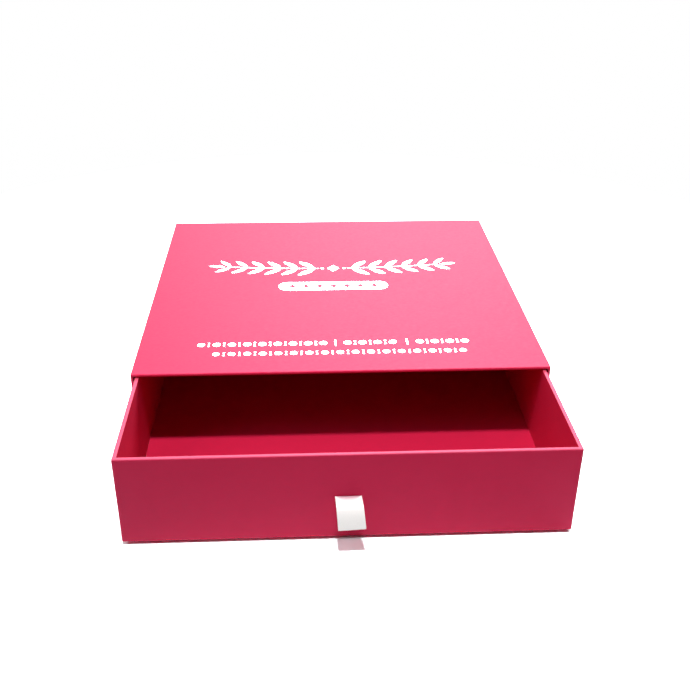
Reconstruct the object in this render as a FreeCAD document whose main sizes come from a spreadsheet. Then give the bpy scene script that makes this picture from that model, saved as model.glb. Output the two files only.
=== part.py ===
import FreeCAD, Part
import Sketcher
import os

# A rigid slide-out gift box: a paper-wrapped case that is open at the front,
# a paper-wrapped tray that slides in it, and a ribbon tab to pull the tray.
# Millimetres. +X is right seen from the front, the front faces -Y, +Z is up.
# The origin is the centre of the case's underside, on the table.

doc = FreeCAD.newDocument("drawer_gift_box")

# Driving dimensions
# Each line is a size of the real box, with its name in the sheet.
DRIVING_SIZES = [
    ("sleeve_width", 250, "case, outside, left to right"),
    ("sleeve_depth", 242.5, "case, outside, mouth to back"),
    ("sleeve_height", 58.5, "case, outside, table to top"),
    ("sleeve_board_thickness", 1.2, "greyboard of the case"),
    ("tray_board_thickness", 2, "greyboard of the tray"),
    ("board_edge_radius", 0.6, "outer board edges, rounded by the wrapping"),
    ("paper_thickness", 0.13, "wrap, covers, lining and liner"),
    ("tape_space", 0.14, "between a board's outside and its wrap"),
    ("stay_thickness", 0.1, "paper stay over a board joint"),
    ("stay_leg", 12, "each leg of a stay's angle"),
    ("stay_end_space", 1, "between one stay's end and the next stay"),
    ("mouth_turn_in", 18, "wrap turned into the case's mouth"),
    ("turned_margin", 15, "wrap turned under the base and over the back"),
    ("cover_inset", 2, "base and back cover, in from the case's edges"),
    ("side_gap", 0.8, "tray to case, each side"),
    ("lid_gap", 0.7, "tray's rim to the case's ceiling"),
    ("running_gap", 0.2, "under the tray"),
    ("stop_gap", 0.5, "behind the closed tray"),
    ("pull_out", 81.2, "how far the tray is drawn out"),
    ("liner_inset", 0.05, "floor liner, in from the tray's inner walls"),
    ("ribbon_width", 15, "satin ribbon"),
    ("ribbon_thickness", 0.3, "one layer of ribbon"),
    ("ribbon_layer_gap", 0.2, "between the doubled layers"),
    ("ribbon_reach", 13, "front face to the tab's outermost layer"),
    ("ribbon_drop", 14, "slit's middle to the tab's lowest point"),
    ("ribbon_bend_radius", 9, "bend of the tab's middle line"),
    ("ribbon_tail_length", 16, "each tail behind the front board"),
    ("slit_height", 1.6, "slit in the tray's front"),
    ("slit_side_play", 0.5, "slit's end to the ribbon's edge"),
    ("swing_gap", 0.5, "between the tab and the tails, in the slit"),
    ("bed_play", 0.02, "round the tails and the tape, in their bed"),
    ("anchor_tape_thickness", 0.1, "tape over the tails"),
    ("anchor_tape_margin", 4, "tape past the ribbon, each side and each end"),
    ("cut_overrun", 5, "how far a cut runs past what it cuts"),
]

sheet = doc.addObject("Spreadsheet::Sheet", "sizes")
for row, (alias, size, meaning) in enumerate(DRIVING_SIZES, start=1):
    sheet.set(f"A{row}", meaning)
    sheet.set(f"B{row}", str(size))
    sheet.setAlias(f"B{row}", alias)
doc.recompute()


def size_of(expression):
    """The value of an expression of the sheet's sizes, in millimetres."""
    return sheet.evalExpression(expression)


# Shapes that several pieces are made from
# A set of faces is six places: left, right, front, back, bottom and top.
LOW_SIDES = ("left", "front", "bottom")
HIGH_SIDES = ("right", "back", "top")
OPPOSITE = {**dict(zip(LOW_SIDES, HIGH_SIDES)), **dict(zip(HIGH_SIDES, LOW_SIDES))}


def inset(faces, amount, keep=()):
    """The faces moved inwards by an amount, apart from those kept."""
    moved = {}
    for side, place in faces.items():
        inwards = "+" if side in LOW_SIDES else "-"
        moved[side] = place if side in keep else f"{place} {inwards} {amount}"
    return moved


def replaced(faces, **places):
    """The faces with some of them set to new places."""
    return {**faces, **places}


def set_block(block, faces):
    """Binds a block's sides and its low corner to six faces."""
    spans = (
        ("Length", "x", "left", "right"),
        ("Width", "y", "front", "back"),
        ("Height", "z", "bottom", "top"),
    )
    for side, axis, low, high in spans:
        block.setExpression(side, f"({faces[high]}) - ({faces[low]})")
        block.setExpression(f"Placement.Base.{axis}", faces[low])


def plain_block(name, faces):
    block = doc.addObject("Part::Box", name)
    set_block(block, faces)
    return block


def rounded_block(name, faces, radius):
    """A block with all its edges rounded alike."""
    body = doc.addObject("PartDesign::Body", name)
    block = body.newObject("PartDesign::AdditiveBox", f"{name}_block")
    set_block(block, faces)
    doc.recompute()
    rounding = body.newObject("PartDesign::Fillet", f"{name}_rounding")
    rounding.Base = (block, [])
    rounding.UseAllEdges = True
    rounding.setExpression("Radius", radius)
    return body


def joined(name, pieces):
    fusion = doc.addObject("Part::MultiFuse", name)
    fusion.Shapes = pieces
    return fusion


def cut(name, base, tool):
    result = doc.addObject("Part::Cut", name)
    result.Base = base
    result.Tool = tool
    return result


def shared(name, base, tool):
    result = doc.addObject("Part::Common", name)
    result.Base = base
    result.Tool = tool
    return result


def grouped(name, pieces):
    group = doc.addObject("Part::Compound", name)
    group.Links = pieces
    return group


finished = []


def named(piece, label):
    """Marks a finished sub-part: its label names its file."""
    piece.Label = label
    finished.append(piece)
    return piece


# The planes that a flat piece's outline can be drawn on, each with the two
# faces that its sheet lies between and the four that its outline runs along
RAISED_BETWEEN = {
    "XY_Plane": ("bottom", "top"),
    "XZ_Plane": ("front", "back"),
    "YZ_Plane": ("left", "right"),
}
OUTLINE_SIDES = {
    "XY_Plane": ("left", "front", "right", "back"),
    "XZ_Plane": ("left", "bottom", "right", "top"),
    "YZ_Plane": ("front", "bottom", "back", "top"),
}


def new_sketch(body, name, role, offset):
    """A sketch on one of the body's own origin planes, moved along its normal."""
    plane = next(item for item in body.Origin.OriginFeatures if item.Role == role)
    sketch = body.newObject("Sketcher::SketchObject", name)
    sketch.AttachmentSupport = [(plane, "")]
    sketch.MapMode = "FlatFace"
    sketch.setExpression("AttachmentOffset.Base.z", offset)
    return sketch


def draw_rectangle(sketch, left, bottom, right, top):
    """A rectangle whose four sides are bound to expressions."""
    places = [size_of(place) for place in (left, bottom, right, top)]
    corners = [
        FreeCAD.Vector(places[0], places[1], 0),
        FreeCAD.Vector(places[2], places[1], 0),
        FreeCAD.Vector(places[2], places[3], 0),
        FreeCAD.Vector(places[0], places[3], 0),
    ]
    for start, end in zip(corners, corners[1:] + corners[:1]):
        sketch.addGeometry(Part.LineSegment(start, end), False)
    for side in range(4):
        sketch.addConstraint(Sketcher.Constraint("Coincident", side, 2, (side + 1) % 4, 1))
    for side, level in enumerate(("Horizontal", "Vertical", "Horizontal", "Vertical")):
        sketch.addConstraint(Sketcher.Constraint(level, side))
    bound = (
        ("left", "DistanceX", 0, left, places[0]),
        ("bottom", "DistanceY", 0, bottom, places[1]),
        ("right", "DistanceX", 2, right, places[2]),
        ("top", "DistanceY", 2, top, places[3]),
    )
    for name, direction, side, place, value in bound:
        number = sketch.addConstraint(Sketcher.Constraint(direction, side, 1, value))
        sketch.renameConstraint(number, name)
        sketch.setExpression(f"Constraints.{name}", place)


NEAR_SHARE = 0.1


def outer_edges(shape, envelope):
    """The edges that lie on two faces of the envelope at once."""
    places = {side: size_of(place) for side, place in envelope.items()}
    near = size_of("sizes.paper_thickness") * NEAR_SHARE
    found = []
    for number, edge in enumerate(shape.Edges, start=1):
        middle = edge.CenterOfMass
        distances = (
            middle.x - places["left"],
            middle.x - places["right"],
            middle.y - places["front"],
            middle.y - places["back"],
            middle.z - places["bottom"],
            middle.z - places["top"],
        )
        if sum(abs(distance) < near for distance in distances) == 2:
            found.append(f"Edge{number}")
    return found


def board_panel(name, role, faces, envelope):
    """A greyboard panel: its outline is cut from the sheet, its outer edges are rounded."""
    body = doc.addObject("PartDesign::Body", name)
    raised_from, raised_to = (faces[side] for side in RAISED_BETWEEN[role])
    offset = f"-({raised_to})" if role == "XZ_Plane" else raised_from
    outline = new_sketch(body, f"{name}_outline", role, offset)
    draw_rectangle(outline, *(faces[side] for side in OUTLINE_SIDES[role]))
    panel = body.newObject("PartDesign::Pad", f"{name}_sheet")
    panel.Profile = outline
    panel.setExpression("Length", f"({raised_to}) - ({raised_from})")
    doc.recompute()
    rounding = body.newObject("PartDesign::Fillet", f"{name}_rounding")
    rounding.Base = (panel, outer_edges(panel.Shape, envelope))
    rounding.setExpression("Radius", BOARD_RADIUS)
    doc.recompute()
    return body


SLEEVE_BOARD = "sizes.sleeve_board_thickness"
TRAY_BOARD = "sizes.tray_board_thickness"
PAPER = "sizes.paper_thickness"
TAPE = "sizes.tape_space"
BOARD_RADIUS = "sizes.board_edge_radius"
CORE_RADIUS = f"{BOARD_RADIUS} + {TAPE}"
SKIN_RADIUS = f"{BOARD_RADIUS} + {TAPE} + {PAPER}"
STAY_PLAY = f"({TAPE} - sizes.stay_thickness) / 2"
PAST = "sizes.cut_overrun"
LEG = "sizes.stay_leg"

# The case's layers, from the table and the outside inwards
sleeve_box = {
    "left": "-sizes.sleeve_width / 2",
    "right": "sizes.sleeve_width / 2",
    "front": "-sizes.sleeve_depth / 2",
    "back": "sizes.sleeve_depth / 2",
    "bottom": "0",
    "top": "sizes.sleeve_height",
}
sleeve_skin = inset(sleeve_box, PAPER, keep=("left", "right", "front", "top"))
sleeve_core = inset(sleeve_skin, PAPER)
sleeve_boards = inset(sleeve_core, TAPE)
sleeve_inside = inset(sleeve_boards, SLEEVE_BOARD, keep=("front",))
sleeve_hollow = replaced(inset(sleeve_inside, PAPER), front=sleeve_box["front"])

# Case boards
# The top and bottom boards cover the case's whole plan, the sides stand
# between them, and the back board stands between the sides.
sleeve_side_faces = replaced(sleeve_boards, bottom=sleeve_inside["bottom"], top=sleeve_inside["top"])
sleeve_panels = {
    "sleeve_top_board": ("XY_Plane", replaced(sleeve_boards, bottom=sleeve_inside["top"])),
    "sleeve_bottom_board": ("XY_Plane", replaced(sleeve_boards, top=sleeve_inside["bottom"])),
    "sleeve_left_board": ("YZ_Plane", replaced(sleeve_side_faces, right=sleeve_inside["left"])),
    "sleeve_right_board": ("YZ_Plane", replaced(sleeve_side_faces, left=sleeve_inside["right"])),
}
for label, (role, faces) in sleeve_panels.items():
    named(board_panel(label, role, faces, sleeve_boards), label)

# The back board is held on all four sides, so none of its edges is rounded.
back_faces = replaced(sleeve_inside, front=sleeve_inside["back"], back=sleeve_boards["back"])
named(plain_block("back_board_of_sleeve", back_faces), "sleeve_back_board")

# Case stays
# Angles of thin paper tape over the board joints, between the boards and the
# wrap: four along the case, two across the back and two up the back's sides.
def stay_shell(name, core):
    """A shell as thick as a stay, in the middle of the space between boards and wrap."""
    outside = rounded_block(f"{name}_outside", inset(core, STAY_PLAY), f"{CORE_RADIUS} - {STAY_PLAY}")
    inside = rounded_block(
        f"{name}_inside",
        inset(core, f"({TAPE} - {STAY_PLAY})"),
        f"{BOARD_RADIUS} + {STAY_PLAY}",
    )
    return cut(name, outside, inside)


def corner_strip(faces, *sides):
    """The part of the faces within one stay leg of each given side."""
    strip = dict(faces)
    for side in sides:
        inwards = "+" if side in LOW_SIDES else "-"
        strip[OPPOSITE[side]] = f"{faces[side]} {inwards} {LEG}"
    return strip


sleeve_stay_shell = stay_shell("sleeve_stay_shell", sleeve_core)
long_strips = []
for height in ("bottom", "top"):
    for side in ("left", "right"):
        faces = corner_strip(sleeve_core, side, height)
        faces["front"] = f"{sleeve_core['front']} + {CORE_RADIUS}"
        faces["back"] = f"{sleeve_core['back']} - {LEG} - sizes.stay_end_space"
        long_strips.append(plain_block(f"long_strip_{height}_{side}", faces))
edge_strips = grouped("long_strips", long_strips)
named(shared("edge_stays", sleeve_stay_shell, edge_strips), "sleeve_edge_stays")

back_strips = []
for height in ("bottom", "top"):
    faces = corner_strip(sleeve_core, "back", height)
    faces["left"] = f"{sleeve_core['left']} + {CORE_RADIUS}"
    faces["right"] = f"{sleeve_core['right']} - ({CORE_RADIUS})"
    back_strips.append(plain_block(f"back_strip_{height}", faces))
for side in ("left", "right"):
    faces = corner_strip(sleeve_core, "back", side)
    faces["bottom"] = f"{sleeve_core['bottom']} + {LEG} + sizes.stay_end_space"
    faces["top"] = f"{sleeve_core['top']} - {LEG} - sizes.stay_end_space"
    back_strips.append(plain_block(f"back_strip_{side}", faces))
end_strips = grouped("back_strips", back_strips)
named(shared("back_stays", sleeve_stay_shell, end_strips), "sleeve_back_stays")

# Case wrap
# One sheet over the top and sides. It turns under the base and over the back
# in margins, and over the mouth's edges into the case.
sleeve_skin_outside = rounded_block("sleeve_skin_outside", sleeve_skin, SKIN_RADIUS)
sleeve_skin_inside = rounded_block("sleeve_skin_inside", sleeve_core, CORE_RADIUS)
sleeve_skin_shell = cut("sleeve_skin_shell", sleeve_skin_outside, sleeve_skin_inside)
turn_in_faces = replaced(
    sleeve_inside,
    front=sleeve_skin["front"],
    back=f"{sleeve_skin['front']} + sizes.mouth_turn_in",
)
mouth_turn_in = plain_block("mouth_turn_in", turn_in_faces)
sleeve_sheet = joined("sleeve_sheet", [sleeve_skin_shell, mouth_turn_in])
sleeve_tunnel = plain_block(
    "sleeve_tunnel",
    replaced(sleeve_hollow, front=f"{sleeve_skin['front']} - {PAST}"),
)
base_window_faces = replaced(
    inset(sleeve_skin, "sizes.turned_margin"),
    bottom=f"{sleeve_skin['bottom']} - {PAST}",
    top=sleeve_core["bottom"],
)
base_window = plain_block("base_window", base_window_faces)
back_window_faces = replaced(
    inset(sleeve_skin, "sizes.turned_margin"),
    front=sleeve_core["back"],
    back=f"{sleeve_skin['back']} + {PAST}",
)
back_window = plain_block("back_window", back_window_faces)
sleeve_openings = grouped("sleeve_openings", [sleeve_tunnel, base_window, back_window])
named(cut("wrap_of_sleeve", sleeve_sheet, sleeve_openings), "sleeve_wrap")

# Base and back covers
# Plain sheets pasted over the turned margins. The paste fills the window
# between the margins, so that part of each cover is as deep as the margins.
base_sheet = plain_block(
    "base_sheet",
    replaced(inset(sleeve_box, "sizes.cover_inset"), bottom=sleeve_box["bottom"], top=sleeve_skin["bottom"]),
)
base_paste = plain_block("base_paste", replaced(base_window_faces, bottom=sleeve_box["bottom"]))
named(joined("base_cover", [base_sheet, base_paste]), "sleeve_base_cover")
back_sheet = plain_block(
    "back_sheet",
    replaced(inset(sleeve_box, "sizes.cover_inset"), front=sleeve_skin["back"], back=sleeve_box["back"]),
)
back_paste = plain_block("back_paste", replaced(back_window_faces, back=sleeve_box["back"]))
named(joined("back_cover", [back_sheet, back_paste]), "sleeve_back_cover")

# Case lining
# It starts where the wrap's turned-in edge ends.
lining_outside = plain_block("lining_outside", replaced(sleeve_inside, front=turn_in_faces["back"]))
named(cut("lining", lining_outside, sleeve_tunnel), "sleeve_lining")

# The tray's layers
# Closed, its front is level with the case's mouth and its back stands one
# stop gap off the lining. It is drawn towards -Y from there.
DRAWN = "sizes.pull_out"
tray_box = {
    "left": f"{sleeve_hollow['left']} + sizes.side_gap",
    "right": f"{sleeve_hollow['right']} - sizes.side_gap",
    "front": f"{sleeve_box['front']} - {DRAWN}",
    "back": f"{sleeve_hollow['back']} - sizes.stop_gap - {DRAWN}",
    "bottom": f"{sleeve_hollow['bottom']} + sizes.running_gap",
    "top": f"{sleeve_hollow['top']} - sizes.lid_gap",
}
tray_core = inset(tray_box, PAPER)
tray_boards = inset(tray_core, TAPE)
tray_inside = inset(tray_boards, TRAY_BOARD, keep=("top",))
tray_hollow = replaced(inset(tray_inside, PAPER), top=tray_box["top"])

# The slit for the ribbon, in the middle of the tray's front
SLIT_MIDDLE = f"(({tray_box['bottom']}) + ({tray_box['top']})) / 2"
SLIT_HALF_WIDTH = "(sizes.ribbon_width / 2 + sizes.slit_side_play)"
SLIT_HALF_HEIGHT = "sizes.slit_height / 2"

# Tray boards
# The base lies between the walls. The front and back boards run the tray's
# full width and the sides stand between them.
tray_base_faces = replaced(tray_inside, bottom=tray_boards["bottom"], top=tray_inside["bottom"])
named(plain_block("base_board_of_tray", tray_base_faces), "tray_base_board")
tray_side_faces = replaced(tray_boards, front=tray_inside["front"], back=tray_inside["back"])
tray_panels = {
    "tray_back_board": ("XZ_Plane", replaced(tray_boards, front=tray_inside["back"])),
    "tray_left_board": ("YZ_Plane", replaced(tray_side_faces, right=tray_inside["left"])),
    "tray_right_board": ("YZ_Plane", replaced(tray_side_faces, left=tray_inside["right"])),
}
for label, (role, faces) in tray_panels.items():
    named(board_panel(label, role, faces, tray_boards), label)

# Tray front board
# The slit goes right through. The bed behind it is pressed in two steps, for
# the tails and for the wider tape over them.
front_board = board_panel(
    "tray_front_board",
    "XZ_Plane",
    replaced(tray_boards, back=tray_inside["front"]),
    tray_boards,
)
BED_PLAY = "sizes.bed_play"
TAPE_DEPTH = f"sizes.anchor_tape_thickness + {BED_PLAY}"
TAPE_HALF_WIDTH = f"(sizes.ribbon_width / 2 + sizes.anchor_tape_margin + {BED_PLAY})"
TAPE_HALF_LENGTH = f"(sizes.ribbon_tail_length + sizes.anchor_tape_margin + {BED_PLAY})"
TAIL_DEPTH = f"{TAPE_DEPTH} + sizes.ribbon_thickness + {BED_PLAY}"
TAIL_HALF_LENGTH = f"(sizes.ribbon_tail_length + sizes.ribbon_layer_gap / 2 + {BED_PLAY})"


def pocket_in_front_board(name, half_width, half_height, depth):
    """A rectangular cut from the front board's inner face, centred on the slit."""
    outline = new_sketch(front_board, f"{name}_outline", "XZ_Plane", f"-({tray_inside['front']})")
    draw_rectangle(
        outline,
        f"-{half_width}",
        f"{SLIT_MIDDLE} - {half_height}",
        half_width,
        f"{SLIT_MIDDLE} + {half_height}",
    )
    before = front_board.Shape.Volume
    pocket = front_board.newObject("PartDesign::Pocket", name)
    pocket.Profile = outline
    pocket.Reversed = True
    pocket.setExpression("Length", depth)
    doc.recompute()
    if not front_board.Shape.Volume < before:
        raise ValueError(f"{name} cuts nothing")
    return pocket


pocket_in_front_board("slit", SLIT_HALF_WIDTH, SLIT_HALF_HEIGHT, f"{TRAY_BOARD} + {PAST}")
pocket_in_front_board("tape_bed", TAPE_HALF_WIDTH, TAPE_HALF_LENGTH, TAPE_DEPTH)
pocket_in_front_board("tail_bed", SLIT_HALF_WIDTH, TAIL_HALF_LENGTH, TAIL_DEPTH)
named(front_board, "tray_front_board")

# Tray corner stays
tray_stay_shell = stay_shell("tray_stay_shell", tray_core)
upright_strips = []
for end in ("front", "back"):
    for side in ("left", "right"):
        faces = corner_strip(tray_core, side, end)
        faces["bottom"] = f"{tray_core['bottom']} + {CORE_RADIUS}"
        faces["top"] = f"{tray_core['top']} - ({CORE_RADIUS})"
        upright_strips.append(plain_block(f"upright_strip_{end}_{side}", faces))
corner_strips = grouped("upright_strips", upright_strips)
named(shared("corner_stays", tray_stay_shell, corner_strips), "tray_corner_stays")

# Tray wrap
# One sheet under the base and up the walls, over the rim and down the inside
# to the base board. The slit goes through its outer layer only.
tray_skin_outside = rounded_block("tray_skin_outside", tray_box, SKIN_RADIUS)
tray_skin_inside = rounded_block("tray_skin_inside", tray_core, CORE_RADIUS)
tray_skin_shell = cut("tray_skin_shell", tray_skin_outside, tray_skin_inside)
rim_turn_down = plain_block("rim_turn_down", replaced(tray_inside, top=tray_box["top"]))
tray_sheet = joined("tray_sheet", [tray_skin_shell, rim_turn_down])
tray_well = plain_block(
    "tray_well",
    replaced(tray_hollow, bottom=tray_inside["bottom"], top=f"{tray_box['top']} + {PAST}"),
)
slit_through_wrap = plain_block(
    "slit_through_wrap",
    {
        "left": f"-{SLIT_HALF_WIDTH}",
        "right": SLIT_HALF_WIDTH,
        "front": f"{tray_box['front']} - {PAST}",
        "back": tray_boards["front"],
        "bottom": f"{SLIT_MIDDLE} - {SLIT_HALF_HEIGHT}",
        "top": f"{SLIT_MIDDLE} + {SLIT_HALF_HEIGHT}",
    },
)
tray_openings = grouped("tray_openings", [tray_well, slit_through_wrap])
named(cut("wrap_of_tray", tray_sheet, tray_openings), "tray_wrap")

# Floor liner
liner_faces = replaced(
    inset(tray_hollow, "sizes.liner_inset"),
    bottom=tray_inside["bottom"],
    top=f"{tray_inside['bottom']} + {PAPER}",
)
named(plain_block("floor_liner", liner_faces), "tray_floor_liner")

# Ribbon tails
# The ribbon's two ends come through the slit one above the other. One turns
# up behind the front board and the other down.
RIBBON = "sizes.ribbon_thickness"
HALF_GAP = "sizes.ribbon_layer_gap / 2"
HALF_RIBBON = f"({HALF_GAP} + {RIBBON})"
BED_BACK = f"{tray_inside['front']} - sizes.anchor_tape_thickness - {BED_PLAY}"
tails = []
for direction, low_side, high_side, sign in (("up", "bottom", "top", "+"), ("down", "top", "bottom", "-")):
    through_faces = {
        "left": "-sizes.ribbon_width / 2",
        "right": "sizes.ribbon_width / 2",
        "front": f"{tray_box['front']} + sizes.swing_gap",
        "back": BED_BACK,
        low_side: f"{SLIT_MIDDLE} {sign} {HALF_GAP}",
        high_side: f"{SLIT_MIDDLE} {sign} {HALF_RIBBON}",
    }
    behind_faces = replaced(through_faces, front=f"{BED_BACK} - {RIBBON}")
    behind_faces[high_side] = f"{SLIT_MIDDLE} {sign} ({HALF_GAP} + sizes.ribbon_tail_length)"
    through_slit = plain_block(f"tail_through_slit_{direction}", through_faces)
    behind_board = plain_block(f"tail_behind_board_{direction}", behind_faces)
    tails.append(joined(f"tail_{direction}", [through_slit, behind_board]))
named(grouped("ribbon_tails", tails), "pull_ribbon_tails")

# Anchor tape
# Glued over both tails, level with the front board's inner face.
anchor_tape_faces = {
    "left": f"-({TAPE_HALF_WIDTH} - {BED_PLAY})",
    "right": f"{TAPE_HALF_WIDTH} - {BED_PLAY}",
    "front": f"{tray_inside['front']} - sizes.anchor_tape_thickness",
    "back": tray_inside["front"],
    "bottom": f"{SLIT_MIDDLE} - ({TAPE_HALF_LENGTH} - {BED_PLAY})",
    "top": f"{SLIT_MIDDLE} + {TAPE_HALF_LENGTH} - {BED_PLAY}",
}
named(plain_block("anchor_tape", anchor_tape_faces), "ribbon_anchor_tape")

# Ribbon loop
# Two layers of ribbon leave the slit level, bend down through a quarter turn
# and meet in a half-round fold at the tip. A thicker band less a thinner one
# leaves the two layers.
BEND = "sizes.ribbon_bend_radius"
BEND_OUT = f"{tray_box['front']} - (sizes.ribbon_reach - {HALF_RIBBON} - {BEND})"
BEND_HEIGHT = f"{SLIT_MIDDLE} - {BEND}"
TIP_OUT = f"{tray_box['front']} - (sizes.ribbon_reach - {HALF_RIBBON})"
TIP_HEIGHT = f"{SLIT_MIDDLE} - (sizes.ribbon_drop - {HALF_RIBBON})"
ACROSS = FreeCAD.Rotation(
    FreeCAD.Vector(0, 0, 1),
    FreeCAD.Vector(0, -1, 0),
    FreeCAD.Vector(1, 0, 0),
    "ZXY",
)
QUARTER_TURN = 90
FULL_TURN = 360


def cylinder_across(name, radius, angle, out, height):
    """A cylinder, or a sector that starts upwards and turns outwards, as wide as the ribbon."""
    cylinder = doc.addObject("Part::Cylinder", name)
    cylinder.Placement = FreeCAD.Placement(FreeCAD.Vector(), ACROSS)
    cylinder.setExpression("Radius", radius)
    cylinder.setExpression("Height", "sizes.ribbon_width")
    cylinder.Angle = angle
    cylinder.setExpression("Placement.Base.x", "-sizes.ribbon_width / 2")
    cylinder.setExpression("Placement.Base.y", out)
    cylinder.setExpression("Placement.Base.z", height)
    return cylinder


def bent_band(name, half_thickness, root):
    """The band's level run, quarter bend, drop and round tip, about its middle line."""
    width = {"left": "-sizes.ribbon_width / 2", "right": "sizes.ribbon_width / 2"}
    level_run = plain_block(
        f"{name}_level_run",
        {
            **width,
            "front": BEND_OUT,
            "back": root,
            "bottom": f"{SLIT_MIDDLE} - {half_thickness}",
            "top": f"{SLIT_MIDDLE} + {half_thickness}",
        },
    )
    outer_bend = cylinder_across(
        f"{name}_outer_bend", f"{BEND} + {half_thickness}", QUARTER_TURN, BEND_OUT, BEND_HEIGHT
    )
    inner_bend = cylinder_across(
        f"{name}_inner_bend", f"{BEND} - {half_thickness}", QUARTER_TURN, BEND_OUT, BEND_HEIGHT
    )
    drop = plain_block(
        f"{name}_drop",
        {
            **width,
            "front": f"{TIP_OUT} - {half_thickness}",
            "back": f"{TIP_OUT} + {half_thickness}",
            "bottom": TIP_HEIGHT,
            "top": BEND_HEIGHT,
        },
    )
    tip = cylinder_across(f"{name}_tip", half_thickness, FULL_TURN, TIP_OUT, TIP_HEIGHT)
    return joined(name, [level_run, cut(f"{name}_bend", outer_bend, inner_bend), drop, tip])


both_layers = bent_band("both_layers", HALF_RIBBON, tray_box["front"])
between_layers = bent_band("between_layers", f"({HALF_GAP})", f"{tray_box['front']} + {PAST}")
named(cut("ribbon_loop", both_layers, between_layers), "pull_ribbon_loop")

# Check every object, then write each sub-part
doc.recompute()
for item in doc.Objects:
    if "Invalid" in item.State or "Error" in item.State:
        raise ValueError(f"{item.Name} did not build: {item.State}")
for piece in finished:
    if piece.Shape.isNull() or not piece.Shape.isValid() or not piece.Shape.Solids:
        raise ValueError(f"{piece.Label} has no valid solid")

os.makedirs("parts", exist_ok=True)
for piece in finished:
    piece.Shape.exportStep(f"parts/{piece.Label}.step")
    print(f"{piece.Label}: {len(piece.Shape.Solids)} solid(s), {piece.Shape.Volume:.1f} mm3")
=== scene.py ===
import math

import bmesh
import bpy
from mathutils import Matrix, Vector


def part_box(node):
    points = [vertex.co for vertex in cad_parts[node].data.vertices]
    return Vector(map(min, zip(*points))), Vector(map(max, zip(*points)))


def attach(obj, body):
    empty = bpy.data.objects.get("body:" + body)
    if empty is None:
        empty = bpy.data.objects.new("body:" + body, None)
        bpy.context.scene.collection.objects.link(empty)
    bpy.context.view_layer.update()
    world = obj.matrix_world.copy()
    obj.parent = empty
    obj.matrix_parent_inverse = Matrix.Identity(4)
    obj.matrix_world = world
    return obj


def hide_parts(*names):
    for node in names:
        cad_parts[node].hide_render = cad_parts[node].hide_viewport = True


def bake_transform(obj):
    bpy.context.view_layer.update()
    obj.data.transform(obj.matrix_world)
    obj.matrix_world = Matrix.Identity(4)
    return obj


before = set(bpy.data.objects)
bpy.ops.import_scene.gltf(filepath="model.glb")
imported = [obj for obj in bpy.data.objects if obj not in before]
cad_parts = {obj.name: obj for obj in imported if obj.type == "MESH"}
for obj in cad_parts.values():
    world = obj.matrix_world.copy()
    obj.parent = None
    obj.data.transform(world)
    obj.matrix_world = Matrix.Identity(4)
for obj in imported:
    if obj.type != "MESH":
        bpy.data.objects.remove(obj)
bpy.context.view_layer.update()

# The boards
# The case's panels are 1.2 mm greyboard and the tray's are 2 mm: waste paper
# pulped, pressed and cut on a guillotine. The wrap hides all of it at the end.


def srgb(red, green, blue):
    """A colour as a picture editor gives it, 0 to 255, for a shader's socket."""
    levels = [level / 255 for level in (red, green, blue)]
    linear = [
        level / 12.92 if level <= 0.04045 else ((level + 0.055) / 1.055) ** 2.4
        for level in levels
    ]
    return (*linear, 1)


def feed(node, inputs):
    """Gives a node's inputs a value each, or another node's output."""
    for name, value in inputs.items():
        if isinstance(value, bpy.types.NodeSocket):
            node.id_data.links.new(value, node.inputs[name])
        else:
            node.inputs[name].default_value = value


def add_node(tree, kind, inputs=None, **settings):
    """Adds a shader node with its settings and its inputs."""
    node = tree.nodes.new(kind)
    for setting, value in settings.items():
        setattr(node, setting, value)
    feed(node, inputs or {})
    return node


def calculate(tree, operation, first, second=0.0):
    """One step of arithmetic between numbers or outputs."""
    return add_node(tree, "ShaderNodeMath", {0: first, 1: second}, operation=operation).outputs[0]


def rescale(tree, value, from_low, from_high, to_low, to_high):
    """Stretches one span of values over another, and holds it at the ends."""
    spans = {"From Min": from_low, "From Max": from_high, "To Min": to_low, "To Max": to_high}
    return add_node(tree, "ShaderNodeMapRange", {"Value": value, **spans}).outputs["Result"]


def noise(tree, vector, scale, detail, distortion=0.0):
    """Cloudy noise from 0 to 1, around 0.5."""
    inputs = {"Vector": vector, "Scale": scale, "Detail": detail, "Distortion": distortion}
    return add_node(tree, "ShaderNodeTexNoise", inputs).outputs[0]


def mix_colours(tree, share, first, second):
    """Goes from the first colour to the second as the share goes from 0 to 1."""
    inputs = {0: share, 6: first, 7: second}
    return add_node(tree, "ShaderNodeMix", inputs, data_type="RGBA").outputs[2]


def split(tree, vector):
    """The X, Y and Z of a vector, by name."""
    return add_node(tree, "ShaderNodeSeparateXYZ", {"Vector": vector}).outputs


def new_group(name, inputs, outputs):
    """A node group for an effect that several materials share, with its named sockets."""
    group = bpy.data.node_groups.new(name, "ShaderNodeTree")
    for direction, sockets in (("INPUT", inputs), ("OUTPUT", outputs)):
        for socket, kind in sockets.items():
            group.interface.new_socket(
                name=socket, in_out=direction, socket_type=f"NodeSocket{kind}"
            )
    return group, group.nodes.new("NodeGroupInput").outputs, group.nodes.new("NodeGroupOutput")


def new_material(name):
    """A material with its one shader, and the object's own coordinates."""
    material = bpy.data.materials.new(name)
    material.use_nodes = True
    tree = material.node_tree
    place = add_node(tree, "ShaderNodeTexCoord").outputs["Object"]
    return material, tree, tree.nodes["Principled BSDF"], place


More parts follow.
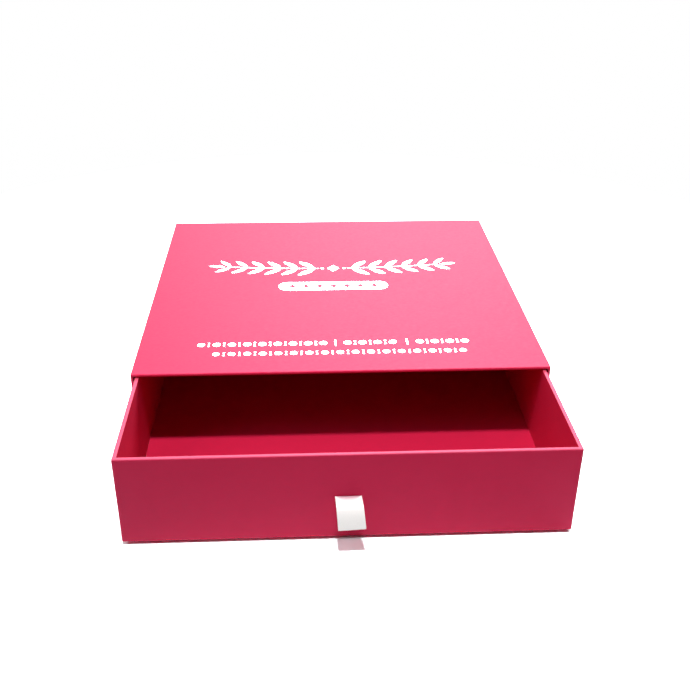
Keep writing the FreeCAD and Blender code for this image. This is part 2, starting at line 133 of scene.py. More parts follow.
# Matted fibres: soft clouds a few millimetres across where the pulp lies thicker,
# short fibres laid mostly one way, and a fine tooth.
FIBRE_SCALE = (420, 1500, 1500)
TOOTH_SHARE = 0.6
grain, given, result = new_group(
    "matted_fibres",
    {"Vector": "Vector", "Colour": "Color", "Clouds": "Float", "Fibres": "Float"},
    {"Colour": "Color", "Height": "Float", "Share": "Float"},
)
laid = add_node(grain, "ShaderNodeMapping", {"Vector": given["Vector"], "Scale": FIBRE_SCALE})
clouds = noise(grain, given["Vector"], scale=150, detail=3)
fibres = noise(grain, laid.outputs[0], scale=1, detail=4, distortion=0.6)
tooth = noise(grain, given["Vector"], scale=4200, detail=2)
lightness = 1.0
for pattern, strength in ((clouds, given["Clouds"]), (fibres, given["Fibres"])):
    swing = calculate(grain, "SUBTRACT", pattern, 0.5)
    lightness = calculate(grain, "ADD", lightness, calculate(grain, "MULTIPLY", swing, strength))
toned = add_node(
    grain, "ShaderNodeHueSaturation", {"Color": given["Colour"], "Value": lightness}
)
height = calculate(grain, "ADD", fibres, calculate(grain, "MULTIPLY", tooth, TOOTH_SHARE))
feed(result, {"Colour": toned.outputs[0], "Height": height, "Share": fibres})


def fibrous(tree, place, colour, clouds, fibres):
    """The matted fibres of one sheet, in its colour."""
    inputs = {"Vector": place, "Colour": colour, "Clouds": clouds, "Fibres": fibres}
    return add_node(tree, "ShaderNodeGroup", inputs, node_tree=grain).outputs


def roughen(shader, height, depth):
    """Raises the surface by a height map, to a depth in metres, over what raised it before."""
    bump = add_node(shader.id_data, "ShaderNodeBump", {"Height": height, "Distance": depth})
    before = shader.inputs["Normal"]
    if before.is_linked:
        feed(bump, {"Normal": before.links[0].from_socket})
    feed(shader, {"Normal": bump.outputs[0]})


GREY = srgb(138, 130, 118)
FLECK = srgb(74, 68, 62)
BOARD_GRAIN_DEPTH = 0.00008

greyboard, tree, shader, place = new_material("greyboard")
sheet = fibrous(tree, place, GREY, clouds=0.5, fibres=0.35)
specks = add_node(tree, "ShaderNodeTexVoronoi", {"Vector": place, "Scale": 700})
fleck_share = rescale(tree, specks.outputs["Distance"], 0.08, 0.2, 0.7, 0)
flecked = mix_colours(tree, fleck_share, sheet["Colour"], FLECK)
matt = rescale(tree, sheet["Share"], 0, 1, 0.8, 0.95)
feed(shader, {"Base Color": flecked, "Roughness": matt, "Specular IOR Level": 0.2})
roughen(shader, sheet["Height"], BOARD_GRAIN_DEPTH)


def dress(material, *nodes):
    """Gives pieces of the frame their finish."""
    for node in nodes:
        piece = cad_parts[node]
        piece.data.materials.clear()
        piece.data.materials.append(material)


dress(
    greyboard,
    *(f"sleeve_{panel}_board" for panel in ("top", "bottom", "left", "right", "back")),
    *(f"tray_{panel}_board" for panel in ("base", "front", "back", "left", "right")),
)

# The stays
# Strips of thin gummed paper, folded round the board joints while the glue
# sets. The same tape is pasted over the ribbon's tails inside the tray's front.
STAY_COLOUR = srgb(226, 216, 196)
STAY_GRAIN_DEPTH = 0.00003
stay_paper, tree, shader, place = new_material("gummed_paper")
sheet = fibrous(tree, place, STAY_COLOUR, clouds=0.25, fibres=0.3)
gummed = rescale(tree, sheet["Share"], 0, 1, 0.55, 0.75)
feed(shader, {"Base Color": sheet["Colour"], "Roughness": gummed})
roughen(shader, sheet["Height"], STAY_GRAIN_DEPTH)
dress(
    stay_paper, "sleeve_edge_stays", "sleeve_back_stays", "tray_corner_stays", "ribbon_anchor_tape"
)

# The case's wrap
# One sheet of dyed fuchsia paper pasted over the case. It goes round the edges
# and into the mouth, and its margins turn under the base and over the back.
PAPER = 0.00013
PAPER_GRAIN_DEPTH = 0.00002
CORNER_RADIUS = 0.00087
INNER_RADIUS = 0.0003
CASE_WALL = 0.0016
MOUTH_TURN_IN = 0.018
MARGIN = 0.015
FUCHSIA = srgb(190, 22, 57)
# Lighter pink where the paper is rubbed; also the painted highlight along the tray's rim.
WORN_AND_LIT_PINK = srgb(240, 150, 175)
RUBBED_WIDTH = 0.0011
TOLERANCE = 1e-6

# Rubbed edges: a mask that is 1 along the edges of a box and fades within a width.
rub, given, result = new_group(
    "rubbed_edges",
    {"Vector": "Vector", "Centre": "Vector", "Half Size": "Vector", "Width": "Float"},
    {"Mask": "Float"},
)
from_centre = add_node(
    rub, "ShaderNodeVectorMath", {0: given["Vector"], 1: given["Centre"]}, operation="SUBTRACT"
)
either_side = add_node(
    rub, "ShaderNodeVectorMath", {0: from_centre.outputs[0]}, operation="ABSOLUTE"
)
inside = add_node(
    rub,
    "ShaderNodeVectorMath",
    {0: either_side.outputs[0], 1: given["Half Size"]},
    operation="SUBTRACT",
)
depths = split(rub, inside.outputs[0])
deeper = calculate(rub, "MINIMUM", depths["X"], depths["Y"])
shallower = calculate(rub, "MAXIMUM", depths["X"], depths["Y"])
second = calculate(rub, "MAXIMUM", deeper, calculate(rub, "MINIMUM", shallower, depths["Z"]))
near_edge = rescale(rub, second, calculate(rub, "MULTIPLY", given["Width"], -1.0), 0, 0, 1)
patches = rescale(rub, noise(rub, given["Vector"], scale=260, detail=4), 0.42, 0.72, 0, 1)
feed(result, {"Mask": calculate(rub, "MULTIPLY", near_edge, patches)})


def fuchsia_paper(name, low, high, rubbed=0.08):
    """Dyed paper with a faint sheen, rubbed lighter along the edges of its box."""
    low, high = Vector(low), Vector(high)
    material, tree, shader, place = new_material(name)
    sheet = fibrous(tree, place, FUCHSIA, clouds=0.09, fibres=0.16)
    box = {"Centre": (low + high) / 2, "Half Size": (high - low) / 2, "Width": RUBBED_WIDTH}
    edges = add_node(tree, "ShaderNodeGroup", {"Vector": place, **box}, node_tree=rub)
    rub_share = calculate(tree, "MULTIPLY", edges.outputs["Mask"], rubbed)
    feed(
        shader,
        {
            "Base Color": mix_colours(tree, rub_share, sheet["Colour"], WORN_AND_LIT_PINK),
            "Roughness": rescale(tree, sheet["Share"], 0.2, 0.8, 0.55, 0.68),
            "Specular IOR Level": 0.38,
            "Specular Tint": (1, 0.4, 1, 1),
        },
    )
    roughen(shader, sheet["Height"], PAPER_GRAIN_DEPTH)
    return material


def settle():
    """Takes the selected pieces' place, turn and size into their meshes."""
    bpy.ops.object.transform_apply(location=True, rotation=True, scale=True)


def block(name, low, high):
    """A block between two corners, alone selected, with its place in its mesh."""
    low, high = Vector(low), Vector(high)
    bpy.ops.mesh.primitive_cube_add(size=1, location=(low + high) / 2, scale=high - low)
    piece = bpy.context.active_object
    piece.name = name
    settle()
    return piece


def pick(piece, kind, wanted):
    """In edit mode, selects only the vertices, edges or faces that a test accepts."""
    bpy.ops.mesh.select_mode(type=kind)
    bpy.ops.mesh.select_all(action="DESELECT")
    shape = bmesh.from_edit_mesh(piece.data)
    for part in {"VERT": shape.verts, "EDGE": shape.edges, "FACE": shape.faces}[kind]:
        if wanted(part):
            part.select_set(True)
    shape.select_flush_mode()
    bmesh.update_edit_mesh(piece.data)


def pick_side(piece, direction):
    """In edit mode, selects the flat faces that look one way."""
    pick(piece, "FACE", lambda face: face.normal.dot(Vector(direction)) > 0.9999)


def apply_modifier(piece, kind, **settings):
    """Adds a modifier and applies it at once."""
    modifier = piece.modifiers.new(kind.lower(), kind)
    for setting, value in settings.items():
        setattr(modifier, setting, value)
    bpy.ops.object.modifier_apply(modifier=modifier.name)


def open_window(piece, direction, margin):
    """Cuts the middle out of a flat side, and leaves a margin all round it."""
    pick_side(piece, direction)
    bpy.ops.mesh.inset(thickness=margin - CORNER_RADIUS)
    bpy.ops.mesh.delete(type="FACE")


def paper_over_box(name, low, high, wall, mouth, turn_in):
    """A sheet wrapped round a box, over the edge of one open side and into it."""
    piece = block(name, low, high)
    axis = [abs(part) for part in mouth].index(1)
    level = high[axis] if mouth[axis] > 0 else low[axis]
    bpy.ops.object.mode_set(mode="EDIT")
    bpy.ops.mesh.select_all(action="SELECT")
    bpy.ops.mesh.bevel(offset=CORNER_RADIUS, segments=6, affect="EDGES")
    pick_side(piece, mouth)
    bpy.ops.mesh.inset(thickness=wall - CORNER_RADIUS)
    bpy.ops.mesh.extrude_region_move(
        TRANSFORM_OT_translate={"value": -Vector(mouth) * turn_in}
    )
    bpy.ops.mesh.delete(type="FACE")
    middle = (Vector(low) + Vector(high)) / 2
    reach = [(high[i] - low[i]) / 2 - wall for i in range(3)]
    across = [i for i in range(3) if i != axis]

    def round_the_mouth(edge):
        return all(
            abs(vertex.co[axis] - level) < TOLERANCE
            and all(abs(vertex.co[i] - middle[i]) < reach[i] + TOLERANCE for i in across)
            for vertex in edge.verts
        )

    pick(piece, "EDGE", round_the_mouth)
    bpy.ops.mesh.bevel(offset=INNER_RADIUS, segments=3, affect="EDGES")
    bpy.ops.object.mode_set(mode="OBJECT")
    return piece


def finish_paper(piece, material):
    """Gives the sheet its thickness, inwards, and its smooth edges."""
    apply_modifier(piece, "SOLIDIFY", thickness=PAPER, offset=-1, use_even_offset=True)
    bpy.ops.object.shade_smooth_by_angle(angle=math.radians(35))
    apply_modifier(piece, "WEIGHTED_NORMAL", keep_sharp=True, weight=100)
    piece.data.materials.append(material)


case_low, case_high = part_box("sleeve_wrap")
case_wrap = paper_over_box("case_wrap", case_low, case_high, CASE_WALL, (0, -1, 0), MOUTH_TURN_IN)
bpy.ops.object.mode_set(mode="EDIT")
open_window(case_wrap, (0, 0, -1), MARGIN)
open_window(case_wrap, (0, 1, 0), MARGIN)
bpy.ops.object.mode_set(mode="OBJECT")
finish_paper(case_wrap, fuchsia_paper("case_paper", case_low, case_high))
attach(case_wrap, "sleeve")
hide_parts("sleeve_wrap")

# The covers and the lining
# Plain sheets of the same paper: one under the base and one on the back, pasted
# over the wrap's margins, and the lining from the turned-in edge to the back.
COVER_RUBBED = 0.05
for node in ("sleeve_base_cover", "sleeve_back_cover", "sleeve_lining"):
    dress(fuchsia_paper(f"{node}_paper", *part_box(node), rubbed=COVER_RUBBED), node)

# The foil on the top
# Silver-white foil, stamped hot into the wrap: a laurel garland, a rounded
# plate under it, and two rows of beads and reels along the mouth.
FOIL_SUNK = 0.00001
FOIL_PROUD = 0.00003
FOIL_RIPPLE_DEPTH = 0.000015
SILVER = srgb(250, 249, 248)
DULL_SILVER = srgb(238, 237, 238)
foil_level = case_high.z - FOIL_SUNK

silver_foil, tree, shader, place = new_material("silver_foil")
ripples = noise(tree, place, scale=900, detail=3)
pinholes = noise(tree, place, scale=3100, detail=2)
bare = rescale(tree, pinholes, 0.66, 0.72, 0, 0.55)
tone = mix_colours(tree, rescale(tree, ripples, 0.3, 0.7, 0, 1), DULL_SILVER, SILVER)
feed(
    shader,
    {
        "Base Color": mix_colours(tree, bare, tone, FUCHSIA),
        "Metallic": rescale(tree, bare, 0, 1, 0.95, 0.1),
        "Roughness": rescale(tree, ripples, 0.3, 0.7, 0.2, 0.32),
    },
)
roughen(shader, ripples, FOIL_RIPPLE_DEPTH)


def stretch_flat(name, length, width):
    """Names the new flat piece and stretches it, and leaves it in edit mode to be shaped."""
    piece = bpy.context.active_object
    piece.name = name
    bpy.ops.object.mode_set(mode="EDIT")
    bpy.ops.transform.resize(value=(length, width, 1))
    return piece


def flat_circle(name, corners, length, width):
    """A disc at the foil's level, in edit mode."""
    bpy.ops.mesh.primitive_circle_add(
        vertices=corners, radius=0.5, fill_type="NGON", location=(0, 0, foil_level)
    )
    return stretch_flat(name, length, width)


def flat_strip(name, length, width, columns=1, rows=1):
    """A rectangle at the foil's level, in columns and rows, in edit mode."""
    bpy.ops.mesh.primitive_grid_add(
        x_subdivisions=columns, y_subdivisions=rows, size=1, location=(0, 0, foil_level)
    )
    return stretch_flat(name, length, width)


def stamp(piece, depth=FOIL_SUNK + FOIL_PROUD):
    """Raises the flat piece in edit mode to the foil's thickness, and ends its shaping."""
    bpy.ops.mesh.select_all(action="SELECT")
    bpy.ops.mesh.extrude_region_move(TRANSFORM_OT_translate={"value": (0, 0, depth)})
    bpy.ops.mesh.select_all(action="SELECT")
    bpy.ops.mesh.normals_make_consistent(inside=False)
    bpy.ops.object.mode_set(mode="OBJECT")
    settle()
    return piece


def copies(piece, places):
    """Copies of a piece, each with its own mesh, at (x, y, turn, size); the first goes."""
    made = []
    for x, y, turn, size in places:
        copy = piece.copy()
        copy.data = piece.data.copy()
        bpy.context.scene.collection.objects.link(copy)
        copy.location = (x, y, 0)
        copy.rotation_euler.z = turn
        copy.scale = (size, size, 1)
        made.append(copy)
    bpy.data.objects.remove(piece)
    return made


def select_only(*pieces):
    """Selects these pieces and no others, with the first of them active."""
    bpy.ops.object.select_all(action="DESELECT")
    for piece in pieces:
        piece.select_set(True)
    bpy.context.view_layer.objects.active = pieces[0]


def join(name, pieces):
    """Makes one object of several, with its place in its mesh."""
    select_only(*pieces)
    bpy.ops.object.join()
    settle()
    pieces[0].name = name
    return pieces[0]


# One leaf: an outline drawn to a point at both ends, and parted along its rib.
# Its ring of 16 corners is narrowed at three distances from the middle.
LEAF_LENGTH = 0.0166
LEAF_WIDTH = 0.0049
RIB = 0.0004
NARROWED = ((0.924, 0.38), (0.707, 0.7), (0.383, 0.92))
CORNER_REACH = 0.0001
leaf = flat_circle("leaf", 16, LEAF_LENGTH, LEAF_WIDTH)
for share, narrowing in NARROWED:
    corner = share * LEAF_LENGTH / 2
    pick(leaf, "VERT", lambda vertex: abs(abs(vertex.co.x) - corner) < CORNER_REACH)
    bpy.ops.transform.resize(value=(1, narrowing, 1))
bpy.ops.mesh.select_all(action="SELECT")
bpy.ops.mesh.bisect(plane_co=(0, RIB / 2, foil_level), plane_no=(0, 1, 0), clear_inner=True)
stamp(leaf)
apply_modifier(leaf, "MIRROR", use_axis=(False, True, False), use_mirror_merge=False)
leaf.location.x = LEAF_LENGTH / 2
settle()

# One branch of the garland: leaves in pairs up a stem, a last leaf at its tip,
# and a berry at its foot. The branch is bent a little, then copied across.
PAIRS = 6
FIRST_PAIR = 0.0135
PAIR_STEP = 0.0123
LAST_PAIR = FIRST_PAIR + PAIR_STEP * (PAIRS - 1)
STEM_WIDTH = 0.001
STEM_START = 0.0105
STEM_END = LAST_PAIR + 0.003
TIP_LEAF = STEM_END + 0.0008
LEAF_SHRINKING = 0.2
LEAF_ANGLE = math.radians(43)
BRANCH_BEND = math.radians(8)
BERRY_PLACE = 0.008
BERRY_SIZE = 0.0026
sizes = [1 - LEAF_SHRINKING * pair / PAIRS for pair in range(PAIRS + 1)]
leaf_places = [(TIP_LEAF, 0, 0, sizes[-1])]
for pair in range(PAIRS):
    for side in (-1, 1):
        leaf_places.append(
            (FIRST_PAIR + PAIR_STEP * pair, side * STEM_WIDTH, side * LEAF_ANGLE, sizes[pair])
        )
berry = stamp(flat_circle("berry", 16, BERRY_SIZE, BERRY_SIZE))
stem = flat_strip("stem", STEM_END - STEM_START, STEM_WIDTH, columns=24)
stem.location.x = (STEM_START + STEM_END) / 2
stamp(stem)
branch = join(
    "branch", [stem, *copies(leaf, leaf_places), *copies(berry, [(BERRY_PLACE, 0, 0, 1)])]
)
apply_modifier(branch, "SIMPLE_DEFORM", deform_method="BEND", deform_axis="Z", angle=BRANCH_BEND)
bpy.ops.object.duplicate()
other_branch = bpy.context.active_object
other_branch.scale.x = -1
settle()
bpy.ops.object.mode_set(mode="EDIT")
bpy.ops.mesh.select_all(action="SELECT")
bpy.ops.mesh.normals_make_consistent(inside=False)
bpy.ops.object.mode_set(mode="OBJECT")

# The lozenge between the branches: a frame, and a smaller lozenge inside it.
# The ring between the two is left out.
LOZENGE_WIDTH = 0.0088
LOZENGE_HEIGHT = 0.0112
FRAME_WIDTH = 0.0011
RING_WIDTH = 0.0008
RING_NEAREST = 0.0016
RING_FARTHEST = 0.0025
GARLAND_PLACE = (0, 0.027)
lozenge = flat_circle("lozenge", 4, LOZENGE_WIDTH, LOZENGE_HEIGHT)
bpy.ops.mesh.inset(thickness=FRAME_WIDTH)
bpy.ops.mesh.inset(thickness=RING_WIDTH)
pick(
    lozenge,
    "FACE",
    lambda face: RING_NEAREST < face.calc_center_median().xy.length < RING_FARTHEST,
)
bpy.ops.mesh.delete(type="FACE")
stamp(lozenge)
garland = join("top_garland", [branch, other_branch, lozenge])
garland.location = (*GARLAND_PLACE, 0)
settle()


def cut_out(piece, cutter):
    """Cuts the shape of one piece out of another, and removes the cutter."""
    select_only(piece)
    apply_modifier(piece, "BOOLEAN", object=cutter, operation="DIFFERENCE", solver="EXACT")
    bpy.data.objects.remove(cutter)


# The plate: round-ended, with a row of small lozenges and dots left out of it.
PLATE_LENGTH = 0.077
PLATE_HEIGHT = 0.0132
PLATE_ROUNDING = 0.0062
PLATE_PLACE = (-0.001, -0.003)
HOLES = 7
HOLE_STEP = 0.0096
HOLE_LENGTH = 0.0058
HOLE_HEIGHT = 0.0062
DOT_SIZE = 0.0016
CUT_DEPTH = 0.001
plate = flat_strip("top_plate", PLATE_LENGTH, PLATE_HEIGHT)
plate.location.xy = PLATE_PLACE
bpy.ops.mesh.bevel(offset=PLATE_ROUNDING, segments=8, affect="VERTICES")
stamp(plate)
hole_places = [(HOLE_STEP * (hole - (HOLES - 1) / 2), 0, 0, 1) for hole in range(HOLES)]
dot_places = [(x + HOLE_STEP / 2, 0, 0, 1) for x, *_ in hole_places[:-1]]
hole = stamp(flat_circle("hole", 4, HOLE_LENGTH, HOLE_HEIGHT), CUT_DEPTH)
dot = stamp(flat_circle("dot", 12, DOT_SIZE, DOT_SIZE), CUT_DEPTH)
cutter = join("cutter", [*copies(hole, hole_places), *copies(dot, dot_places)])
cutter.location = (*PLATE_PLACE, -CUT_DEPTH / 2)
settle()
cut_out(plate, cutter)

# The rows: oval beads with a waisted reel between each two. Two upright bars
# part the upper row into three runs. A run is its y, its first bead's x, its
# number of beads and their size.
BEAD_STEP = 0.0095
BEAD_LENGTH = 0.0051
BEAD_HEIGHT = 0.0047
REEL_WIDTH = 0.0014
REEL_HEIGHT = 0.005
REEL_WAIST = 0.45
BAR_WIDTH = 0.0013
BAR_HEIGHT = 0.0092
UPPER_ROW = -0.0865
LOWER_ROW = -0.0985
BARS = (-0.003, 0.042)
RUNS = (
    (UPPER_ROW, -0.0865, 9, 1),
    (UPPER_ROW, 0.0045, 4, 1),
    (UPPER_ROW, 0.05, 4, 1),
    (LOWER_ROW, -0.0765, 17, 0.9),
)
bead_places = []
reel_places = []
for y, first, count, size in RUNS:
    bead_places += [(first + BEAD_STEP * bead, y, 0, size) for bead in range(count)]
    reel_places += [(first + BEAD_STEP * (bead + 0.5), y, 0, size) for bead in range(count - 1)]
bead = stamp(flat_circle("bead", 16, BEAD_LENGTH, BEAD_HEIGHT))
reel = flat_strip("reel", REEL_WIDTH, REEL_HEIGHT, rows=2)
pick(reel, "VERT", lambda vertex: abs(vertex.co.y) < REEL_HEIGHT / 4)
bpy.ops.transform.resize(value=(REEL_WAIST, 1, 1))
stamp(reel)
bar = stamp(flat_circle("bar", 6, BAR_WIDTH, BAR_HEIGHT))
beads = join(
    "top_beads",
    [
        *copies(bead, bead_places),
        *copies(reel, reel_places),
        *copies(bar, [(x, UPPER_ROW, 0, 1) for x in BARS]),
    ],
)
for ornament in (garland, plate, beads):
    ornament.data.materials.append(silver_foil)
    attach(ornament, "sleeve")

# The tray's wrap
# One sheet of the same paper under the tray and up its walls, over the rim and
# down the inside to the base. The ribbon's slit goes through its front.
TRAY_WALL = 0.0024
tray_low, tray_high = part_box("tray_wrap")
floor_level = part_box("tray_floor_liner")[0].z
tray_wrap = paper_over_box(
    "tray_wrap_paper", tray_low, tray_high, TRAY_WALL, (0, 0, 1), tray_high.z - floor_level
)
tray_paper = fuchsia_paper("tray_paper", tray_low, tray_high)
tree = tray_paper.node_tree
shader = tree.nodes["Principled BSDF"]
paper_colour = shader.inputs["Base Color"].links[0].from_socket
parts = split(tree, add_node(tree, "ShaderNodeTexCoord").outputs["Object"])

# The rim's top is painted lighter all along: a painted highlight of the light from above,
# and rubbing by the case and by fingers.
RIM_HIGHLIGHT_AND_WEAR = 0.18
RIM_HIGHLIGHT_START = 0.0006
RIM_HIGHLIGHT_FULL = 0.0001
rim_highlight_and_wear = rescale(
    tree, parts["Z"], tray_high.z - RIM_HIGHLIGHT_START, tray_high.z - RIM_HIGHLIGHT_FULL, 0, RIM_HIGHLIGHT_AND_WEAR
)
rim_lit_and_worn_colour = mix_colours(tree, rim_highlight_and_wear, paper_colour, WORN_AND_LIT_PINK)

# At each corner the end walls' paper is folded onto the side wall, and the side
# wall's paper is pasted over it. Its cut edge shows as a fine line by the corner,
# on the side wall's outer face, up to just under the rim: a shallow groove, painted
# darker as the shade of the paper's step.
SEAM_INSET = 0.0014
SEAM_HALF_WIDTH = 0.00012
SEAM_DEPTH = 0.00008
SEAM_SHADE_COLOUR = srgb(120, 12, 36)
SEAM_FULL_BELOW_RIM = 0.0012
SEAM_GONE_BELOW_RIM = 0.0009
OUTER_FACE_START = 0.0005
OUTER_FACE_FULL = 0.0003
seam_place = (tray_high.y - tray_low.y) / 2 - SEAM_INSET
from_middle = calculate(
    tree, "ABSOLUTE", calculate(tree, "SUBTRACT", parts["Y"], (tray_low.y + tray_high.y) / 2)
)
from_seam = calculate(tree, "ABSOLUTE", calculate(tree, "SUBTRACT", from_middle, seam_place))
on_line = rescale(tree, from_seam, 0, SEAM_HALF_WIDTH, 1, 0)
below_rim = rescale(
    tree,
    parts["Z"],
    tray_high.z - SEAM_FULL_BELOW_RIM,
    tray_high.z - SEAM_GONE_BELOW_RIM,
    1,
    0,
)
outside = rescale(
    tree,
    calculate(tree, "ABSOLUTE", parts["X"]),
    tray_high.x - OUTER_FACE_START,
    tray_high.x - OUTER_FACE_FULL,
    0,
    1,
)
seam = calculate(tree, "MULTIPLY", calculate(tree, "MULTIPLY", on_line, below_rim), outside)
# Painted shade along the seam line, the shadow of the paper's cut edge.
feed(shader, {"Base Color": mix_colours(tree, seam, rim_lit_and_worn_colour, SEAM_SHADE_COLOUR)})
roughen(shader, calculate(tree, "SUBTRACT", 1.0, seam), SEAM_DEPTH)
finish_paper(tray_wrap, tray_paper)

SLIT_HALF_WIDTH = 0.0071
SLIT_HALF_HEIGHT = 0.0005
SLIT_DEPTH = 0.0005
ROOT_SHIFT = -0.00086
slit_level = (tray_low.z + tray_high.z) / 2
slit_cutter = block(
    "slit_cutter",
    (ROOT_SHIFT - SLIT_HALF_WIDTH, tray_low.y - SLIT_DEPTH, slit_level - SLIT_HALF_HEIGHT),
    (ROOT_SHIFT + SLIT_HALF_WIDTH, tray_low.y + SLIT_DEPTH, slit_level + SLIT_HALF_HEIGHT),
)
cut_out(tray_wrap, slit_cutter)
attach(tray_wrap, "tray")
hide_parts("tray_wrap")

# The tray's floor liner
# A loose-cut sheet of the paper, pasted over the base board and the ends of
# the wrap, a hair short of the walls.
liner_paper = fuchsia_paper("liner_paper", *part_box("tray_floor_liner"), rubbed=COVER_RUBBED)
dress(liner_paper, "tray_floor_liner")

# The pull ribbon
# White satin, 15 mm wide, doubled and pushed through the slit. It leaves the
# slit level, curls down and ends in a soft fold, a little askew.
RIBBON_WIDTH = 0.015
RIBBON_THICKNESS = 0.00028
SATIN_DIP = srgb(232, 228, 226)
SATIN_RAISED = srgb(248, 246, 244)
WEAVE_DEPTH = 0.00001


def satin(name, turn_in_place):
    """Woven satin: long floats over fine warp threads. The function given turns the
    piece's own coordinates into a flat place in metres, along it and across it."""
    material, tree, shader, place = new_material(name)
    flat = turn_in_place(tree, place)
    warp = add_node(
        tree,
        "ShaderNodeTexWave",
        {"Vector": flat, "Scale": 1300, "Distortion": 1.5, "Detail": 2},
        bands_direction="Y",
    )
    stretched = add_node(tree, "ShaderNodeMapping", {"Vector": flat, "Scale": (700, 4200, 1)})
    floats = noise(tree, stretched.outputs[0], scale=1, detail=2)
    weave = calculate(tree, "ADD", warp.outputs["Fac"], floats)
    colour = mix_colours(tree, rescale(tree, weave, 0.3, 1.7, 0, 1), SATIN_DIP, SATIN_RAISED)
    rough = rescale(tree, floats, 0.3, 0.7, 0.28, 0.4)
    feed(shader, {"Base Color": colour, "Roughness": rough})
    roughen(shader, weave, WEAVE_DEPTH)
    return material, tree, shader, flat, colour


def tails_place(tree, place):
    """The tails hang upright, so their length runs along Z and their width along X."""
    parts = split(tree, place)
    return add_node(tree, "ShaderNodeCombineXYZ", {"X": parts["Z"], "Y": parts["X"]}).outputs[0]


# The path of the loop, seen from the side: millimetres out from the tray's front
# and up from the slit's middle, with the handles before and after each point.
LOOP = (
    ((-3.0, 0.25), (-0.45, 0.25), (2.6, 0.25)),
    ((6.2, -0.5), (8.4, -3.1), (10.4, -5.5)),
    ((11.8, -8.9), (12.5, -12.0), (12.6, -12.4)),
    ((12.1, -12.45), (12.0, -12.05), (11.4, -9.3)),
    ((9.9, -6.1), (7.9, -3.7), (5.8, -1.3)),
    ((2.6, -0.25), (-0.45, -0.25), (-3.0, -0.25)),
)
LOOP_REACH = 0.0126


def in_metres(point):
    """A point of the drawn path, from millimetres."""
    return (point[0] / 1000, point[1] / 1000, 0)


bpy.ops.curve.primitive_bezier_curve_add()
path = bpy.context.active_object
path.data.dimensions = "2D"
path.data.resolution_u = 48
points = path.data.splines[0].bezier_points
points.add(len(LOOP) - len(points))
for point, (before, at, after) in zip(points, LOOP):
    point.handle_left_type = point.handle_right_type = "FREE"
    point.handle_left = in_metres(before)
    point.co = in_metres(at)
    point.handle_right = in_metres(after)
length = path.data.splines[0].calc_length(resolution=256)

# The strip, flat and standing on edge, still straight along X.
bpy.ops.mesh.primitive_grid_add(
    x_subdivisions=180,
    y_subdivisions=10,
    size=1,
    location=(length / 2, 0, 0),
    rotation=(math.pi / 2, 0, 0),
)
bpy.ops.transform.resize(value=(length, 1, RIBBON_WIDTH))
ribbon = bpy.context.active_object
ribbon.name = "pull_ribbon"
settle()

# It is squeezed where the slit holds it and cupped beside that, its fold bows,
# and the whole leans to one side. Then it is bent along the path.
SKEW_SHIFT = 0.00153
ROOT_SQUEEZE = 0.94
TIP_SQUEEZE = 0.983
CUP_DEPTH = 0.0002
FOLD_BOW = 0.0005
TIP_TILT = 0.05
for vertex in ribbon.data.vertices:
    outwards = 1 - abs(vertex.co.x - length / 2) / (length / 2)
    across = 2 * vertex.co.z / RIBBON_WIDTH
    side = 1 if vertex.co.x < length / 2 else -1
    vertex.co.y -= side * CUP_DEPTH * (1 - across**2) * (1 - outwards)
    vertex.co.x -= side * FOLD_BOW * across**2 * outwards**2
    vertex.co.z *= ROOT_SQUEEZE + (TIP_SQUEEZE - ROOT_SQUEEZE) * outwards
    vertex.co.z -= ROOT_SHIFT + SKEW_SHIFT * outwards
apply_modifier(ribbon, "CURVE", object=path, deform_axis="POS_X")
bpy.data.objects.remove(path)
ribbon.rotation_euler = (math.pi / 2, 0, -math.pi / 2)
ribbon.location = (0, tray_low.y, slit_level)
settle()
for vertex in ribbon.data.vertices:
    vertex.co.z += TIP_TILT * vertex.co.x * (tray_low.y - vertex.co.y) / LOOP_REACH
apply_modifier(ribbon, "SOLIDIFY", thickness=RIBBON_THICKNESS, offset=0)
bpy.ops.object.shade_smooth_by_angle(angle=math.radians(50))


def loop_place(tree, place):
    """The loop's UV map in metres: along the ribbon, and across it from its middle."""
    uv = add_node(tree, "ShaderNodeUVMap").outputs[0]
    size = {"Scale": (length, RIBBON_WIDTH, 1), "Location": (0, -RIBBON_WIDTH / 2, 0)}
    return add_node(tree, "ShaderNodeMapping", {"Vector": uv, **size}).outputs[0]


# Painted shade on the loop where it comes out of the slit, widest in the middle: a pinkish
# grey that is a painted shadow of the slit's lip and a painted reflection of the red front.
ROOT_SHADE_REACH = 0.0028
ROOT_SHADE_LEAST_REACH = 0.0002
ROOT_SHADE_FADE = (0.45, 1.3)
ROOT_SHADE_STRENGTH = 0.9
ROOT_SHADE_COLOUR = srgb(190, 142, 158)
loop_satin, tree, shader, flat, white = satin("ribbon_satin", loop_place)
parts = split(tree, flat)
across = calculate(tree, "MULTIPLY", parts["Y"], 2 / RIBBON_WIDTH)
cubed = calculate(tree, "POWER", calculate(tree, "ABSOLUTE", across), 3.0)
widest = calculate(tree, "MULTIPLY", calculate(tree, "SUBTRACT", 1.0, cubed), ROOT_SHADE_REACH)
reach = calculate(tree, "MAXIMUM", widest, ROOT_SHADE_LEAST_REACH)
along = calculate(tree, "DIVIDE", parts["X"], reach)
# Painted shade and reflection: pinkish grey that fades out along the loop from the slit.
painted_root_shade = rescale(tree, along, *ROOT_SHADE_FADE, ROOT_SHADE_STRENGTH, 0)
feed(shader, {"Base Color": mix_colours(tree, painted_root_shade, white, ROOT_SHADE_COLOUR)})
ribbon.data.materials.append(loop_satin)
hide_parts("pull_ribbon_loop")
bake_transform(ribbon)
dress(satin("tails_satin", tails_place)[0], "pull_ribbon_tails")

# The table, the light and the camera
# A plain white table top under a white studio: one small lamp high in front
# for the crisp shadow, and soft light from all round.
TABLE_SIZE = 8
WHITE = (1, 1, 1, 1)


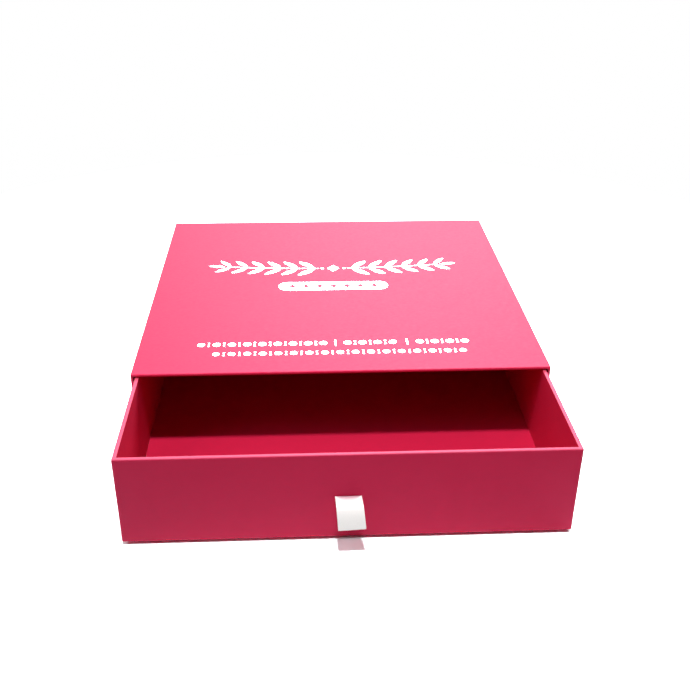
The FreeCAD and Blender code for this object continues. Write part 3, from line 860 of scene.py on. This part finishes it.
def seen(tree):
    """1 for what the eye or a mirror image sees, and 0 for what only lights the box."""
    rays = add_node(tree, "ShaderNodeLightPath").outputs
    through = calculate(tree, "MAXIMUM", rays["Is Glossy Ray"], rays["Is Transmission Ray"])
    return calculate(tree, "MAXIMUM", rays["Is Camera Ray"], through)


bpy.ops.mesh.primitive_plane_add(size=TABLE_SIZE)
table = bpy.context.active_object
table.name = "table_top"

# The table bounces light onto the box from close by, and little from beyond that.
# The eye sees shadows on it near the box, and pure white farther off. The near
# colour is over 1, so that the lit table comes out white in the picture.
BRIGHT_WITHIN = 0.217
DIM_BEYOND = 0.305
BRIGHT = 0.97
DIM = 0.18
SHADOWS_WITHIN = 0.3
PURE_BEYOND = 0.5
NEAR_COLOUR = (1.5, 1.7, 1.75, 1)
white_table, tree, shader, place = new_material("white_table")
tree.nodes.remove(shader)
distance = add_node(
    tree, "ShaderNodeVectorMath", {0: place}, operation="LENGTH"
).outputs["Value"]
bounce = rescale(tree, distance, BRIGHT_WITHIN, DIM_BEYOND, BRIGHT, DIM)
for_light = add_node(tree, "ShaderNodeBsdfDiffuse", {"Color": bounce})
near = add_node(tree, "ShaderNodeBsdfDiffuse", {"Color": NEAR_COLOUR})
far = add_node(tree, "ShaderNodeEmission", {"Color": WHITE, "Strength": 1})
farther = rescale(tree, distance, SHADOWS_WITHIN, PURE_BEYOND, 0, 1)
for_eye = add_node(
    tree, "ShaderNodeMixShader", {0: farther, 1: near.outputs[0], 2: far.outputs[0]}
)
mixed = add_node(
    tree, "ShaderNodeMixShader", {0: seen(tree), 1: for_light.outputs[0], 2: for_eye.outputs[0]}
)
feed(tree.nodes["Material Output"], {"Surface": mixed.outputs[0]})
table.data.materials.append(white_table)

STUDIO_FILL = 0.04
world = bpy.data.worlds.new("white_studio")
bpy.context.scene.world = world
world.use_nodes = True
tree = world.node_tree
studio = rescale(tree, seen(tree), 0, 1, STUDIO_FILL, 1)
feed(tree.nodes["Background"], {"Color": WHITE, "Strength": studio})


def add_lamp(name, size, power, place, aim):
    """A square lamp at a place, turned towards what it lights."""
    data = bpy.data.lights.new(name, "AREA")
    data.size = size
    data.energy = power
    lamp = bpy.data.objects.new(name, data)
    bpy.context.scene.collection.objects.link(lamp)
    lamp.location = place
    lamp.rotation_euler = (Vector(aim) - Vector(place)).to_track_quat("-Z", "Y").to_euler()


add_lamp("high_lamp", size=0.1, power=23, place=(-0.02, -0.48, 1.5), aim=(0, -0.08, 0))
add_lamp("back_softbox", size=1.2, power=76, place=(0.3, 1.4, 1.35), aim=(0, 0, 0))
add_lamp("front_softbox", size=0.8, power=6, place=(-0.9, -0.35, 1.0), aim=(0, -0.1, 0))

camera_data = bpy.data.cameras.new("camera")
camera_data.lens = 47.693
camera_data.sensor_width = 36
camera = bpy.data.objects.new("camera", camera_data)
bpy.context.scene.collection.objects.link(camera)
camera.location = (-0.024199, -0.587238, 0.334122)
camera.rotation_euler = (1.06562607, -0.00756617, -0.05009576)
bpy.context.scene.camera = camera
bpy.context.scene.view_settings.view_transform = "Standard"
